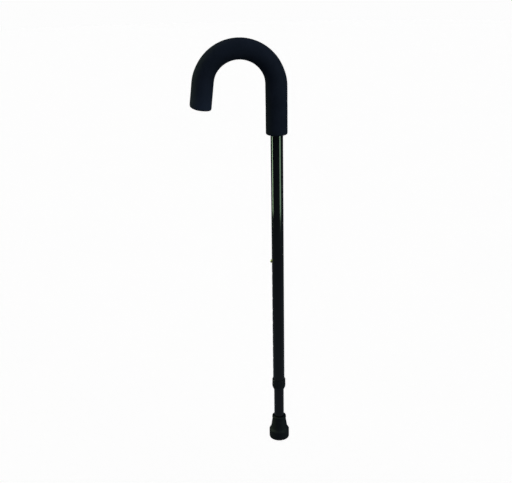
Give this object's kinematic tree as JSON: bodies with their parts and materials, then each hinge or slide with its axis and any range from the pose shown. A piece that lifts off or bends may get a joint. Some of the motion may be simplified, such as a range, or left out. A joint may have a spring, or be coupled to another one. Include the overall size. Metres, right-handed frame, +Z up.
{
  "type": "adjustable crook walking cane",
  "caption": "Height-adjustable walking cane: bent tube with foam crook grip, sliding lower tube with snap button, lock nut and rubber tip.",
  "frame": {"origin": "centre of the rubber tip's ground face, where the cane stands on the floor", "axes": "+Z up along the shaft, -X towards the hook's nose, the snap button and the row of holes, Y across the hook"},
  "size_m": [0.1706, 0.0392, 0.7847],
  "materials": {
    "black_anodised_tube": "gloss",
    "black_foam": "matte",
    "black_nylon": "satin",
    "white_nylon": "satin",
    "black_rubber": "matte",
    "brass_button": "polished",
    "spring_steel": "satin"
  },
  "bodies": {
    "upper": {"upper_tube": "black_anodised_tube", "foam_grip": "black_foam", "nose_plug": "black_nylon"},
    "clamp_ring": {"split_ring": "white_nylon"},
    "nut": {"lock_nut": "black_nylon"},
    "lower": {"lower_tube": "black_anodised_tube", "guide_bushing": "white_nylon", "button_spring": "spring_steel", "rubber_tip": "black_rubber", "tip_washer": "spring_steel"},
    "button": {"snap_button": "brass_button"}
  },
  "joints": [
    {"name": "height_slide", "type": "slide", "parent": "upper", "child": "lower", "axis": [0, 0, -1], "range_m": [0, 0.2286], "deforming": ["snap_button"]},
    {"name": "button_press", "type": "slide", "parent": "lower", "child": "button", "axis": [1, 0, 0], "range_m": [0, 0.0045], "stiffness_N_per_m": 900, "springref_m": -0.004, "deforming": ["button_spring"]},
    {"name": "ring_slide", "type": "slide", "parent": "upper", "child": "clamp_ring", "axis": [0, 0, -1], "range_m": [0, 0.005]},
    {"name": "nut_turn", "type": "hinge", "parent": "clamp_ring", "child": "nut", "pos_m": [0, 0, 0.12], "axis": [0, 0, -1], "range_deg": [0, 720]}
  ],
  "couplings": [
    {"joint": "ring_slide", "follows": "nut_turn", "m_per_rad": 0.00039788}
  ]
}
